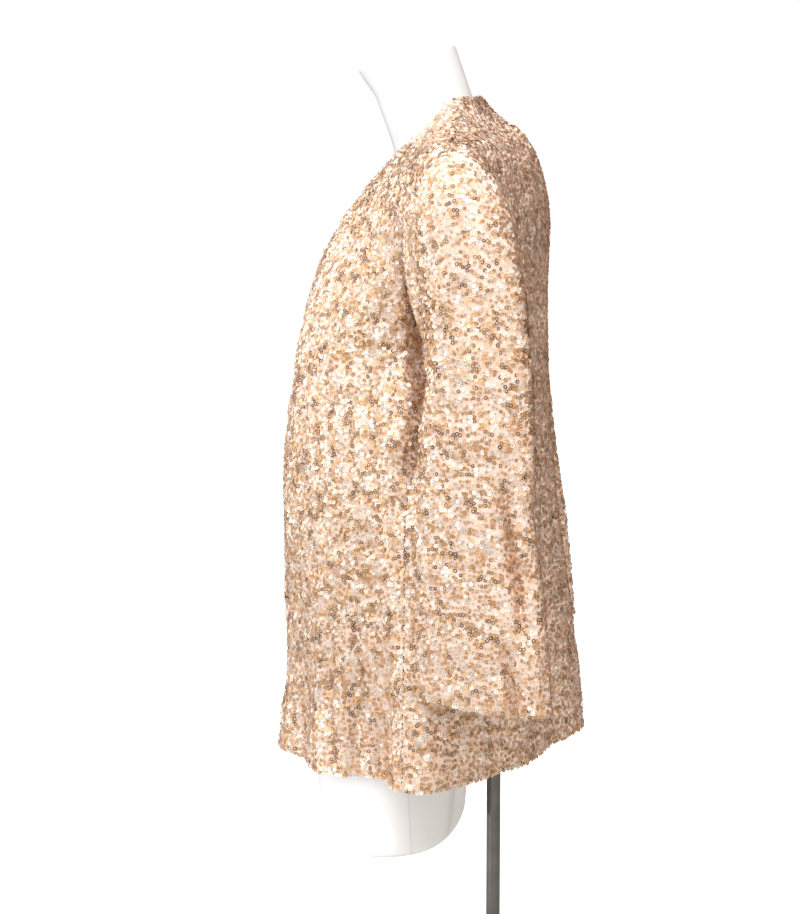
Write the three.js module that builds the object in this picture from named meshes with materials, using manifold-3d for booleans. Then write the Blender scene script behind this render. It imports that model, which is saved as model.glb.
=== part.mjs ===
// An open-fronted sequin blazer on a limbless dress form, with the form's pole and base plate.
// Millimetres, +Z up. -Y is the front and +X the wearer's left. The origin is the centre of the base
// plate's underside. Heights named "up" are measured from the blazer's front hem.
import * as THREE from 'three';
import { mergeVertices } from 'three/addons/utils/BufferGeometryUtils.js';
import Module from 'manifold-3d';

const wasm = await Module();
wasm.setup();

// Driving sizes.
const HEM = 640; // floor to the front hem
const WALL = 1.5; // cloth
const SEAM_GAP = 0.3;
const BACK_HEM_RISE = 17; // the hem is this much higher at the centre back
const HEM_RISE_REACH = 260; // and the rows above it level out within this height
const UNDERARM = 425; // up
const BODY_ROWS = 12; // hem to underarm
const ARMHOLE_ROWS = 10; // underarm to shoulder seam
const SLEEVE_ROWS = 16;
const FRONT_COLUMNS = 14;
const NECK_COLUMNS = 3; // of each half of the back, across the neckline
const EDGE_FADE_COLUMNS = 1.6; // a drape fold dies out this far from the armhole

const NECK_POINT_UP = 671; // where the shoulder seams end at the neck
const SEAM_SEARCH_X = 100; // the side seam is looked for beyond this
const RIDGE_RISE = 0.35; // edges that rise less than this over their seam lean alike

const POLE_RADIUS = 7.5;
const POLE_Y = 67;
const POLE_TOP = 180; // up, inside the form
const BORE_CLEARANCE = 0.35;
const BASE_RADIUS = 170;
const BASE_THICKNESS = 8;
const BASE_ROUND = 2;
const COLLAR_RADIUS = 19;
const COLLAR_HEIGHT = 34;
const COLLAR_ROUND = 2;
const TOUCH_GAP = 0.3; // between pieces that rest on or in each other
const ROD_SIDES = 28;
const COLLAR_SIDES = 20;
const PLATE_SIDES = 48;
const ROUND_STEPS = 3; // of a rounded edge
const FINE_STEPS = 120; // of a curve before it is divided evenly

// Half of the body's outline at each height: the front edge stands "gap" from the middle at
// y = front, the side is furthest out at (side, sideY), the middle of the back is at y = back.
// A curve of 2 is an ellipse, less is straighter and more is squarer.
const BODY = [
  { up: 0, gap: 41, front: -157, side: 221, sideY: 10, back: 159, frontCurve: 1.35, backCurve: 1.42 },
  { up: 55, gap: 41, front: -150, side: 215, sideY: 11, back: 155, frontCurve: 1.4, backCurve: 1.46 },
  { up: 85, gap: 42, front: -145, side: 211, sideY: 12, back: 152, frontCurve: 1.45, backCurve: 1.5 },
  { up: 155, gap: 43, front: -147, side: 203, sideY: 13, back: 143, frontCurve: 1.55, backCurve: 1.6 },
  { up: 250, gap: 44, front: -148, side: 193, sideY: 17, back: 131, frontCurve: 1.65, backCurve: 1.75 },
  { up: 330, gap: 46, front: -145, side: 181, sideY: 27, back: 124, frontCurve: 1.75, backCurve: 1.95 },
  { up: 390, gap: 49, front: -136, side: 170, sideY: 39, back: 119.5, frontCurve: 1.85, backCurve: 2.15 },
  { up: 425, gap: 50, front: -131, side: 165, sideY: 45, back: 118, frontCurve: 1.9, backCurve: 2.3 },
];
// The side seam leaves the outline's side point at the underarm and runs in front of it below.
const SIDE_SEAM = [
  { up: 0, y: -1 },
  { up: 265, y: -2 },
  { up: 310, y: 5 },
  { up: 350, y: 20 },
  { up: 425, y: 45 },
];
// The front edge and the middle of the back, from the underarm's height up.
const FRONT_EDGE = [
  { up: 425, gap: 50, y: -131 },
  { up: 475, gap: 56, y: -118 },
  { up: 506, gap: 59, y: -108 },
  { up: 537, gap: 61, y: -92.5 },
  { up: 567, gap: 63, y: -72.5 },
  { up: 598, gap: 64, y: -46.5 },
  { up: 639, gap: 65.5, y: -5 },
  { up: 671, gap: 66, y: 31 },
];
const CENTRE_BACK = [
  { up: 425, y: 118 },
  { up: 480, y: 117 },
  { up: 540, y: 118 },
  { up: 575, y: 117 },
  { up: 600, y: 112 },
  { up: 628, y: 100 },
  { up: 650, y: 79 },
  { up: 661, y: 61 },
  { up: 675, y: 49 },
];
// Drape folds: each follows the line from head to foot and stands out (or, below zero, in) by rise
// at its head, middle and foot, and dies out over spread to each side. half is 1 for the wearer's
// left and -1 for the right; x is measured from the middle either way.
const FOLDS = [
  // in front of the armpit
  { half: 1, head: [160, -8, 530], foot: [184, 8, 265], rise: [2, 23, 2], spread: [15, 16] },
  { half: -1, head: [160, -10, 525], foot: [184, 3, 250], rise: [2, 20, 2], spread: [15, 17] },
  // flutes at the front hem
  { half: 1, head: [186, -30, 320], foot: [198, -50, 0], rise: [0, -11, -34], spread: [26, 28] },
  { half: 1, head: [152, -104, 300], foot: [156, -100, 0], rise: [0, 3, 9], spread: [26, 24] },
  { half: 1, head: [106, -126, 240], foot: [102, -126, 0], rise: [0, -4, -9], spread: [22, 22] },
  { half: -1, head: [184, -40, 300], foot: [182, -58, 0], rise: [0, -9, -27], spread: [26, 26] },
  { half: -1, head: [140, -112, 280], foot: [134, -114, 0], rise: [0, 4, 9], spread: [26, 28] },
  // the right front hangs a little further forward than the left
  { half: -1, head: [66, -30, 630], foot: [58, -118, 470], rise: [0, 16, 0], spread: [36, 42] },
  { half: -1, head: [50, -132, 410], foot: [44, -145, 250], rise: [0, 14, 0], spread: [34, 34] },
  // flutes of the back
  { half: 1, head: [120, 104, 330], foot: [128, 106, 0], rise: [0, 3, 6], spread: [24, 22] },
  { half: 1, head: [70, 122, 360], foot: [64, 140, 0], rise: [0, -4, -6], spread: [24, 22] },
  { half: -1, head: [150, 86, 300], foot: [156, 86, 0], rise: [0, 3, 7], spread: [24, 24] },
  { half: -1, head: [96, 112, 380], foot: [92, 126, 0], rise: [0, -5, -8], spread: [26, 22] },
  { half: -1, head: [30, 124, 300], foot: [26, 154, 0], rise: [0, 2, 5], spread: [26, 20] },
];
// Sleeve rings from the armhole to the cuff: the points furthest out and in, and the front and back
// ones, at the height midway between those two.
const SLEEVE = [
  { step: 0, outX: 205, outY: 45, outUp: 622, inX: 165, inY: 45, inUp: 425, frontX: 185, frontY: -3, backX: 185, backY: 93 },
  { step: 1, outX: 226, outY: 48, outUp: 606, inX: 170, inY: 46, inUp: 418, frontX: 195, frontY: -1, backX: 196, backY: 99 },
  { step: 2, outX: 237, outY: 50, outUp: 575, inX: 176, inY: 48, inUp: 408, frontX: 203, frontY: 10, backX: 206, backY: 107 },
  { step: 3, outX: 242, outY: 54, outUp: 530, inX: 184, inY: 52, inUp: 394, frontX: 208, frontY: 21.5, backX: 212, backY: 112 },
  { step: 4, outX: 244, outY: 58, outUp: 480, inX: 191, inY: 56, inUp: 374, frontX: 213, frontY: 26, backX: 217, backY: 115 },
  { step: 5, outX: 246, outY: 62, outUp: 430, inX: 197, inY: 59, inUp: 344, frontX: 216, frontY: 24.5, backX: 221, backY: 119 },
  { step: 6, outX: 249, outY: 66, outUp: 370, inX: 202, inY: 61, inUp: 304, frontX: 219, frontY: 21, backX: 225, backY: 125 },
  { step: 7, outX: 253, outY: 71, outUp: 300, inX: 207, inY: 62, inUp: 255, frontX: 221, frontY: 19, backX: 229, backY: 131 },
  { step: 8, outX: 258, outY: 78, outUp: 235, inX: 211, inY: 64, inUp: 205, frontX: 222, frontY: 18, backX: 233, backY: 139.5 },
  { step: 9, outX: 262, outY: 87, outUp: 160, inX: 214, inY: 65, inUp: 150, frontX: 223, frontY: 17.5, backX: 237, backY: 144 },
  { step: 10, outX: 263, outY: 96, outUp: 91, inX: 216, inY: 67, inUp: 95, frontX: 223, frontY: 17, backX: 240, backY: 146.5 },
];
const CUFF_TILT = 2.5; // the cuff's front is higher and its back lower by this
const CUFF_LIFT = 4; // and its front outer quarter is drawn up this much
const CUFF_LIFT_ANGLE = 0.95; // from the outermost point
const CUFF_LIFT_SPREAD = 0.4;
const CUFF_STEPS = 3; // the tilt and lift set in over the last steps
const ARMHOLE_HOLLOW = 12; // the armhole bends in this much at its front and back
const HOLLOW_STEPS = 3; // and the sleeve loses that bend over these steps
const RIGHT_SWING = -15; // the right sleeve's lower part hangs this much further forward
const SWING_FROM = 1; // the swing sets in from this step
const SWING_STEPS = 5; // and is whole after these
// The dress form's body: half width, front, back and the depth of its side point at each height. Its
// shoulders close inside the neck.
const FORM = [
  { up: -92, half: 147, front: -107, sideY: -38, back: 33, frontCurve: 2.2, backCurve: 2.45 },
  { up: -40, half: 150, front: -117, sideY: -36, back: 38, frontCurve: 2.2, backCurve: 2.2 },
  { up: 0, half: 153, front: -119, sideY: -34, back: 46, frontCurve: 2.2, backCurve: 2.2 },
  { up: 60, half: 160, front: -121, sideY: -26, back: 69, frontCurve: 2.2, backCurve: 2.2 },
  { up: 110, half: 162, front: -120, sideY: -18, back: 84, frontCurve: 2.2, backCurve: 2.2 },
  { up: 160, half: 158, front: -116, sideY: -14, back: 83, frontCurve: 2.2, backCurve: 2.2 },
  { up: 210, half: 143, front: -108, sideY: -10, back: 69, frontCurve: 2.2, backCurve: 2.2 },
  { up: 265, half: 122, front: -100, sideY: -8, back: 56, frontCurve: 2.2, backCurve: 2.2 },
  { up: 320, half: 124, front: -103, sideY: -4, back: 62, frontCurve: 2.2, backCurve: 2.2 },
  { up: 370, half: 131, front: -115, sideY: 4, back: 76, frontCurve: 2.2, backCurve: 2.2 },
  { up: 410, half: 136, front: -122, sideY: 12, back: 87, frontCurve: 2.25, backCurve: 2.2 },
  { up: 450, half: 140, front: -116, sideY: 22, back: 96, frontCurve: 2.3, backCurve: 2.2 },
  { up: 500, half: 147, front: -96, sideY: 30, back: 101, frontCurve: 2.3, backCurve: 2.2 },
  { up: 550, half: 155, front: -68, sideY: 36, back: 98, frontCurve: 2.3, backCurve: 2.1 },
  { up: 590, half: 162, front: -38, sideY: 41, back: 90, frontCurve: 2.2, backCurve: 2 },
  { up: 612, half: 162, front: -22, sideY: 43, back: 81, frontCurve: 2, backCurve: 1.9 },
  { up: 628, half: 155, front: -10, sideY: 43, back: 73, frontCurve: 1.6, backCurve: 1.8 },
  { up: 638, half: 146, front: -2, sideY: 41, back: 66, frontCurve: 1.4, backCurve: 1.7 },
  { up: 648, half: 121.5, front: 4, sideY: 37, back: 57, frontCurve: 1.3, backCurve: 1.6 },
  { up: 658, half: 89, front: 10, sideY: 35, back: 48, frontCurve: 1.2, backCurve: 1.5 },
  { up: 668, half: 52, front: 16, sideY: 32, back: 41, frontCurve: 1.2, backCurve: 1.7 },
  { up: 678, half: 14, front: 22, sideY: 28, back: 34, frontCurve: 1.4, backCurve: 1.7 },
];
// The neck leans forward: its axis is at this depth at the neck point's height.
const NECK = { radius: 50, y: -7, lean: 0.344, from: 590, top: 728, blend: 14 };
const BODY_END = { above: 3, over: 12 }; // the body dies out inside the neck, above the neck point
const FORM_ROWS = 38;
const FORM_COLUMNS = 36;
const FORM_RIM = 10; // radius of the rounded rim at its underside
const NECK_RIM = 3;
const RIM_ROWS = 4;
const NECK_CAP_SLOPE = 0.26; // rise over run, down to the front

const COLOURS = { cloth: 0xd9a878, form: 0xf2efec, chrome: 0x8d9096 };

// ---- numbers ----

const lerp = (a, b, t) => a + (b - a) * t;
const clamp01 = (t) => Math.min(1, Math.max(0, t));
const ease = (t) => clamp01(t) ** 2 * (3 - 2 * clamp01(t));

// Reads every column of a table at one value of its key column, on a smooth curve through the rows.
function readTable(table, key, value) {
  const last = table.length - 1;
  let i = 0;
  while (i < last - 1 && value > table[i + 1][key]) i += 1;
  const gap = (n) => table[n + 1][key] - table[n][key];
  const slope = (n, column) => (table[n + 1][column] - table[n][column]) / gap(n);
  const tangent = (n, column) => {
    if (n === 0) return slope(0, column);
    if (n === last) return slope(last - 1, column);
    const before = slope(n - 1, column);
    const after = slope(n, column);
    if (before * after <= 0) return 0;
    return (before * gap(n) + after * gap(n - 1)) / (gap(n) + gap(n - 1));
  };
  const t = clamp01((value - table[i][key]) / gap(i));
  const row = {};
  for (const column of Object.keys(table[i])) {
    const a = table[i][column];
    const b = table[i + 1][column];
    const ta = tangent(i, column) * gap(i);
    const tb = tangent(i + 1, column) * gap(i);
    row[column] = a * (1 + 2 * t) * (1 - t) ** 2 + b * t * t * (3 - 2 * t);
    row[column] += ta * t * (1 - t) ** 2 - tb * t * t * (1 - t);
  }
  return row;
}

// count + 1 points at equal steps along a line of points.
function evenly(points, count) {
  const lengths = [0];
  for (let i = 1; i < points.length; i += 1) {
    lengths.push(lengths[i - 1] + points[i].distanceTo(points[i - 1]));
  }
  const total = lengths[lengths.length - 1];
  const out = [];
  let k = 0;
  for (let i = 0; i <= count; i += 1) {
    const want = (total * i) / count;
    while (k < points.length - 2 && lengths[k + 1] < want) k += 1;
    const t = clamp01((want - lengths[k]) / Math.max(1e-9, lengths[k + 1] - lengths[k]));
    out.push(points[k].clone().lerp(points[k + 1], t));
  }
  return out;
}

// A quarter of a squared ellipse in plan, from an end that faces front or back to one at the side.
function quarter(end, side, curve) {
  const points = [];
  for (let i = 0; i <= FINE_STEPS; i += 1) {
    const angle = (i / FINE_STEPS) * (Math.PI / 2);
    const across = Math.sin(angle) ** (2 / curve);
    const along = 1 - Math.max(0, Math.cos(angle)) ** (2 / curve);
    points.push(new THREE.Vector3(
      lerp(end.x, side.x, across),
      lerp(end.y, side.y, along),
      lerp(end.z, side.z, i / FINE_STEPS),
    ));
  }
  return points;
}

// ---- the blazer's cut ----

// Moves the points of a plan line out by the folds of that half, along the line's own normal.
function drape(points, half, weight = () => 1) {
  return points.map((point, i) => {
    const before = points[Math.max(0, i - 1)];
    const after = points[Math.min(points.length - 1, i + 1)];
    const outward = new THREE.Vector3(after.y - before.y, before.x - after.x, 0).normalize();
    const up = point.z - HEM;
    let move = 0;
    for (const fold of FOLDS.filter((entry) => entry.half === half)) {
      const t = (fold.head[2] - up) / (fold.head[2] - fold.foot[2]);
      if (t <= 0) continue;
      const x = lerp(fold.head[0], fold.foot[0], t);
      const y = lerp(fold.head[1], fold.foot[1], t);
      const spread = lerp(fold.spread[0], fold.spread[1], t);
      const [a, b, c] = fold.rise;
      const rise = t < 0.5 ? lerp(a, b, ease(2 * t)) : lerp(b, c, ease(2 * t - 1));
      move += rise * Math.exp(-(((point.x - x) ** 2 + (point.y - y) ** 2) / spread ** 2));
    }
    return point.clone().addScaledVector(outward, move * weight(i / (points.length - 1)));
  });
}

// A point of the sleeve at a step down its table, at an angle from the outermost point by the
// front. swing moves the sleeve below its head towards the back.
function sleevePoint(step, angle, swing = 0) {
  const ring = readTable(SLEEVE, 'step', step);
  const out = new THREE.Vector3(ring.outX, ring.outY, HEM + ring.outUp);
  const inner = new THREE.Vector3(ring.inX, ring.inY, HEM + ring.inUp);
  const middle = (out.z + inner.z) / 2;
  const front = new THREE.Vector3(ring.frontX, ring.frontY, middle);
  const back = new THREE.Vector3(ring.backX, ring.backY, middle);
  const centre = new THREE.Vector3();
  for (const point of [out, inner, front, back]) centre.addScaledVector(point, 0.25);
  const toOut = out.clone().sub(inner).multiplyScalar(0.5);
  const toFront = front.clone().sub(back).multiplyScalar(0.5);
  const hollow = ARMHOLE_HOLLOW * clamp01(1 - step / HOLLOW_STEPS) * Math.sin(angle) ** 2;
  const cuff = ease(1 - (SLEEVE[SLEEVE.length - 1].step - step) / CUFF_STEPS);
  const lift = CUFF_LIFT * Math.exp(-(((angle - CUFF_LIFT_ANGLE) / CUFF_LIFT_SPREAD) ** 2));
  return centre.addScaledVector(toOut, Math.cos(angle)).addScaledVector(toFront, Math.sin(angle))
    .add(new THREE.Vector3(
      -hollow,
      swing * ease((step - SWING_FROM) / SWING_STEPS),
      cuff * (CUFF_TILT * Math.sin(angle) + lift),
    ));
}

// Where an armhole row ends: from the underarm, row 0, to the shoulder tip, by the front or back.
function armholePoint(row, way) {
  return sleevePoint(0, way * Math.PI * (1 - row / ARMHOLE_ROWS));
}

// One half of the body in the wearer's left sense: rows of the front from its edge to the side seam
// or armhole, and rows of the back from there to the middle.
function halfBody(half) {
  const fronts = [];
  const backs = [];
  const backColumns = FRONT_COLUMNS + NECK_COLUMNS;
  for (let row = 0; row <= BODY_ROWS; row += 1) {
    const up = (UNDERARM * row) / BODY_ROWS;
    const size = readTable(BODY, 'up', up);
    const edge = new THREE.Vector3(size.gap, size.front, HEM + up);
    const side = new THREE.Vector3(size.side, size.sideY, HEM + up);
    const middle = new THREE.Vector3(0, size.back, HEM + up);
    const outline = quarter(edge, side, size.frontCurve)
      .concat(quarter(middle, side, size.backCurve).reverse().slice(1));
    const line = drape(outline, half);
    const seamY = readTable(SIDE_SEAM, 'up', up).y;
    const cut = line.findIndex((point) => point.y >= seamY && point.x > SEAM_SEARCH_X);
    const before = line[cut - 1];
    const seam = before.clone().lerp(line[cut], (seamY - before.y) / (line[cut].y - before.y));
    const rise = BACK_HEM_RISE * (1 - ease(up / HEM_RISE_REACH));
    const back = evenly([seam, ...line.slice(cut)], backColumns);
    back.forEach((point, i) => {
      point.z += rise * ease(i / backColumns);
    });
    fronts.push(evenly([...line.slice(0, cut), seam], FRONT_COLUMNS));
    backs.push(back);
  }
  const edgeLine = evenly(readLine(FRONT_EDGE, 'gap'), ARMHOLE_ROWS);
  const middleLine = evenly(readLine(CENTRE_BACK), ARMHOLE_ROWS);
  const { frontCurve, backCurve } = BODY[BODY.length - 1];
  for (let row = 1; row < ARMHOLE_ROWS; row += 1) {
    const t = row / ARMHOLE_ROWS;
    const fade = (s) => ease((1 - s) * (FRONT_COLUMNS / EDGE_FADE_COLUMNS));
    const front = quarter(edgeLine[row], armholePoint(row, 1), lerp(frontCurve, 1, t));
    fronts.push(evenly(drape(front, half, fade), FRONT_COLUMNS));
    const back = quarter(middleLine[row], armholePoint(row, -1), lerp(backCurve, 1, t)).reverse();
    backs.push(evenly(drape(back, half, (s) => fade(1 - s)), backColumns));
  }
  const tip = armholePoint(ARMHOLE_ROWS, 1);
  const neck = edgeLine[ARMHOLE_ROWS];
  const shoulder = evenly([neck, tip], FRONT_COLUMNS);
  const nape = quarter(middleLine[ARMHOLE_ROWS], neck, 2).reverse();
  fronts.push(shoulder);
  backs.push([...shoulder.slice().reverse(), ...evenly(nape, NECK_COLUMNS).slice(1)]);
  return { fronts, backs };
}

// The points of a table as a smooth line; gap is the column that gives x, or x is 0.
function readLine(table, gap) {
  const points = [];
  const [first, last] = [table[0].up, table[table.length - 1].up];
  for (let i = 0; i <= FINE_STEPS; i += 1) {
    const row = readTable(table, 'up', lerp(first, last, i / FINE_STEPS));
    points.push(new THREE.Vector3(gap ? row[gap] : 0, row.y, HEM + row.up));
  }
  return points;
}

// A sleeve's rings from the armhole to the cuff, in the left sense.
function sleeveRings(swing) {
  const columns = 2 * ARMHOLE_ROWS;
  const steps = SLEEVE[SLEEVE.length - 1].step;
  const rings = [];
  for (let row = 0; row <= SLEEVE_ROWS; row += 1) {
    const ring = [];
    for (let column = 0; column < columns; column += 1) {
      ring.push(sleevePoint((steps * row) / SLEEVE_ROWS, (2 * Math.PI * column) / columns, swing));
    }
    rings.push(ring);
  }
  return rings;
}

// A grid seen in a mirror at x = 0, with its columns turned round so that it still faces out.
function mirrored(grid) {
  return grid.map((row) => row.map((point) => new THREE.Vector3(-point.x, point.y, point.z)).reverse());
}

// The five cut pieces as grids of points on the cloth's outer side. Seen from outside, columns run
// to the right and rows run up, or columns to the left and rows down.
function cutPieces() {
  const left = halfBody(1);
  const right = halfBody(-1);
  const rightBack = mirrored(right.backs);
  const back = left.backs.map((row, r) => {
    const middle = row[row.length - 1].clone().lerp(rightBack[r][0], 0.5);
    return [...row.slice(0, -1), middle, ...rightBack[r].slice(1)];
  });
  return [
    { name: 'blazer_back', grid: back },
    { name: 'blazer_front_left', grid: left.fronts },
    { name: 'blazer_front_right', grid: mirrored(right.fronts) },
    { name: 'blazer_sleeve_left', grid: sleeveRings(0), loop: true },
    { name: 'blazer_sleeve_right', grid: mirrored(sleeveRings(RIGHT_SWING)), loop: true },
  ];
}

// ---- cloth walls ----

// The point of a piece's grid, or undefined past its border. A loop's columns go round.
function gridPoint({ grid, loop }, r, c) {
  if (r < 0 || r >= grid.length) return undefined;
  const columns = grid[0].length;
  return grid[r][loop ? (c + columns) % columns : c];
}

function addNormals(piece) {
  piece.normals = piece.grid.map((row, r) => row.map((point, c) => {
    const sum = new THREE.Vector3();
    for (const [dr, dc] of [[0, 1], [1, 0], [0, -1], [-1, 0]]) {
      const [a, b] = [gridPoint(piece, r + dr, c + dc), gridPoint(piece, r + dc, c - dr)];
      if (!a || !b) continue;
      sum.add(a.clone().sub(point).cross(b.clone().sub(point)));
    }
    return sum.normalize();
  }));
}

// Every point on a piece's border, with the way from there into its cloth.
function borderPoints(piece) {
  const found = [];
  piece.grid.forEach((row, r) => row.forEach((point, c) => {
    const ways = [];
    for (const [dr, dc] of [[1, 0], [0, 1]]) {
      const [before, after] = [gridPoint(piece, r - dr, c - dc), gridPoint(piece, r + dr, c + dc)];
      if (before && after) continue;
      const along = [gridPoint(piece, r - dc, c - dr) ?? point, gridPoint(piece, r + dc, c + dr) ?? point];
      const seam = along[1].clone().sub(along[0]).normalize();
      const way = (before ?? after).clone().sub(point);
      ways.push(way.addScaledVector(seam, -way.dot(seam)).normalize());
    }
    if (ways.length) found.push({ piece, r, c, point, ways, normal: piece.normals[r][c].clone() });
  }));
  return found;
}

// Where pieces meet at a seam they are drawn back from it to leave its gap. Where the cloth goes on
// over a ridge, both lean their edges alike, so that their walls stay side by side.
function joinSeams(pieces) {
  const meetings = new Map();
  for (const entry of pieces.flatMap(borderPoints)) {
    const key = entry.point.toArray().map((value) => value.toFixed(2)).join(' ');
    meetings.set(key, [...(meetings.get(key) ?? []), entry]);
  }
  for (const entries of meetings.values()) {
    if (entries.length < 2) continue;
    for (const entry of entries) {
      const lean = entry.normal.clone();
      for (const other of entries.filter((item) => item !== entry)) {
        const rise = Math.max(...other.ways.map((way) => entry.normal.dot(way)))
          + Math.max(...entry.ways.map((way) => other.normal.dot(way)));
        if (rise < RIDGE_RISE) lean.add(other.normal);
      }
      entry.piece.normals[entry.r][entry.c] = lean.normalize();
      const moved = entry.point.clone();
      for (const way of entry.ways) moved.addScaledVector(way, SEAM_GAP / 2);
      entry.piece.grid[entry.r][entry.c] = moved;
    }
  }
}

// A closed wall: the grid outside, its copy one wall thickness in, and rims at its borders.
function wallGeometry({ grid, normals, loop }) {
  const [rows, columns] = [grid.length, grid[0].length];
  const positions = [];
  for (const depth of [0, WALL]) {
    grid.forEach((row, r) => row.forEach((point, c) => {
      positions.push(...point.clone().addScaledVector(normals[r][c], -depth).toArray());
    }));
  }
  const outer = (r, c) => r * columns + (c % columns);
  const inner = (r, c) => rows * columns + outer(r, c);
  const index = [];
  const quad = (a, b, c, d) => index.push(a, b, c, a, c, d);
  const across = loop ? columns : columns - 1;
  for (let r = 0; r < rows - 1; r += 1) {
    for (let c = 0; c < across; c += 1) {
      const corners = [[r, c], [r, c + 1], [r + 1, c + 1], [r + 1, c]];
      const points = corners.map(([i, j]) => grid[i][j % columns]);
      const turned = points[0].distanceTo(points[2]) > points[1].distanceTo(points[3]) ? 1 : 0;
      const order = [0, 1, 2, 3].map((k) => corners[(k + turned) % 4]);
      quad(...order.map(([i, j]) => outer(i, j)));
      const [a, b, c2, d] = order.map(([i, j]) => inner(i, j));
      index.push(a, c2, b, a, d, c2);
    }
  }
  const top = rows - 1;
  for (let c = 0; c < across; c += 1) {
    quad(outer(0, c + 1), outer(0, c), inner(0, c), inner(0, c + 1));
    quad(outer(top, c), outer(top, c + 1), inner(top, c + 1), inner(top, c));
  }
  for (let r = 0; r < rows - 1 && !loop; r += 1) {
    quad(outer(r, 0), outer(r + 1, 0), inner(r + 1, 0), inner(r, 0));
    quad(outer(r + 1, columns - 1), outer(r, columns - 1), inner(r, columns - 1), inner(r + 1, columns - 1));
  }
  return indexed(positions, index);
}

function indexed(positions, index) {
  const geometry = new THREE.BufferGeometry();
  geometry.setAttribute('position', new THREE.Float32BufferAttribute(positions, 3));
  geometry.setIndex(index);
  geometry.computeVertexNormals();
  return geometry;
}

// ---- the dress form and its stand ----

// How far a squared ellipse with its own front and back depth reaches in a direction in plan.
function reach(size, across, along) {
  const front = along < 0;
  const depth = front ? size.sideY - size.front : size.back - size.sideY;
  const curve = front ? size.frontCurve : size.backCurve;
  return ((Math.abs(across) / size.half) ** curve + (Math.abs(along) / depth) ** curve) ** (-1 / curve);
}

// The same for the round neck, from a centre that is off its axis.
function neckReach(up, centreY, across, along) {
  const off = NECK.y - NECK.lean * (up - NECK_POINT_UP) - centreY;
  const inside = NECK.radius ** 2 - (off * across) ** 2;
  return inside > 0 ? Math.max(0.01, off * along + Math.sqrt(inside)) : 0.01;
}

// One ring of the form, drawn in by inset all round and tipped down to the front by slope. The body
// and the neck run into each other softly.
function formRing(up, inset, slope) {
  const size = readTable(FORM, 'up', up);
  const tip = ease((up - NECK_POINT_UP - BODY_END.above) / BODY_END.over);
  const centreY = lerp(size.sideY, NECK.y - NECK.lean * (up - NECK_POINT_UP), tip);
  const outline = [];
  for (let i = 0; i <= FINE_STEPS; i += 1) {
    const angle = (i / FINE_STEPS) * Math.PI - Math.PI / 2;
    const [across, along] = [Math.cos(angle), Math.sin(angle)];
    const body = reach(size, across, along) * (1 - tip);
    const neck = up < NECK.from ? 0 : neckReach(up, centreY, across, along);
    const radius = (body ** NECK.blend + neck ** NECK.blend) ** (1 / NECK.blend) - inset;
    outline.push(new THREE.Vector3(Math.abs(across) * radius, centreY + along * radius, HEM + up));
  }
  outline[0].x = 0;
  outline[FINE_STEPS].x = 0;
  const half = evenly(outline, FORM_COLUMNS / 2);
  const ring = half.concat(mirrored([half])[0].slice(1, -1));
  const back = half[half.length - 1].y;
  ring.forEach((point) => {
    point.z += slope * (point.y - back);
  });
  return ring;
}

function formGeometry() {
  const [bottom, top] = [FORM[0].up, NECK.top];
  const profile = [];
  for (let i = 0; i <= FINE_STEPS; i += 1) {
    const up = lerp(bottom + FORM_RIM, top - NECK_RIM, i / FINE_STEPS);
    const size = readTable(FORM, 'up', up);
    profile.push(new THREE.Vector3(size.half, size.back, up));
  }
  const neckSlope = (up) => NECK_CAP_SLOPE * ease((up - NECK_POINT_UP) / (top - NECK_POINT_UP));
  const rings = [];
  for (let i = 0; i < RIM_ROWS; i += 1) {
    const angle = (i / RIM_ROWS) * (Math.PI / 2);
    rings.push(formRing(bottom + FORM_RIM * (1 - Math.cos(angle)), FORM_RIM * (1 - Math.sin(angle)), 0));
  }
  for (const { z: up } of evenly(profile, FORM_ROWS)) rings.push(formRing(up, 0, neckSlope(up)));
  for (let i = 1; i <= RIM_ROWS; i += 1) {
    const angle = (i / RIM_ROWS) * (Math.PI / 2);
    const up = top - NECK_RIM * (1 - Math.sin(angle));
    rings.push(formRing(up, NECK_RIM * (1 - Math.cos(angle)), neckSlope(up)));
  }
  const positions = rings.flat().flatMap((point) => point.toArray());
  const index = [];
  const at = (r, c) => r * FORM_COLUMNS + (c % FORM_COLUMNS);
  for (let r = 0; r < rings.length - 1; r += 1) {
    for (let c = 0; c < FORM_COLUMNS; c += 1) {
      index.push(at(r, c), at(r, c + 1), at(r + 1, c + 1), at(r, c), at(r + 1, c + 1), at(r + 1, c));
    }
  }
  for (const [r, flip] of [[0, true], [rings.length - 1, false]]) {
    const centre = new THREE.Vector3();
    rings[r].forEach((point) => centre.addScaledVector(point, 1 / FORM_COLUMNS));
    const middle = positions.push(...centre.toArray()) / 3 - 1;
    for (let c = 0; c < FORM_COLUMNS; c += 1) {
      index.push(middle, ...(flip ? [at(r, c + 1), at(r, c)] : [at(r, c), at(r, c + 1)]));
    }
  }
  return indexed(positions, index);
}

function toSolid(geometry) {
  const bare = geometry.clone();
  bare.deleteAttribute('normal');
  bare.deleteAttribute('uv');
  const merged = mergeVertices(bare, 1e-4);
  return new wasm.Manifold(new wasm.Mesh({
    numProp: 3,
    vertProperties: new Float32Array(merged.attributes.position.array),
    triVerts: new Uint32Array(merged.index.array),
  }));
}

function fromSolid(solid) {
  const { numProp, vertProperties, triVerts } = solid.getMesh();
  const positions = [];
  for (let i = 0; i < vertProperties.length; i += numProp) {
    positions.push(...vertProperties.slice(i, i + 3));
  }
  return indexed(positions, [...triVerts]);
}

function rod(radius, bottom, top) {
  const geometry = new THREE.CylinderGeometry(radius, radius, top - bottom, ROD_SIDES);
  geometry.rotateX(Math.PI / 2);
  geometry.translate(0, POLE_Y, (bottom + top) / 2);
  return geometry;
}

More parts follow.
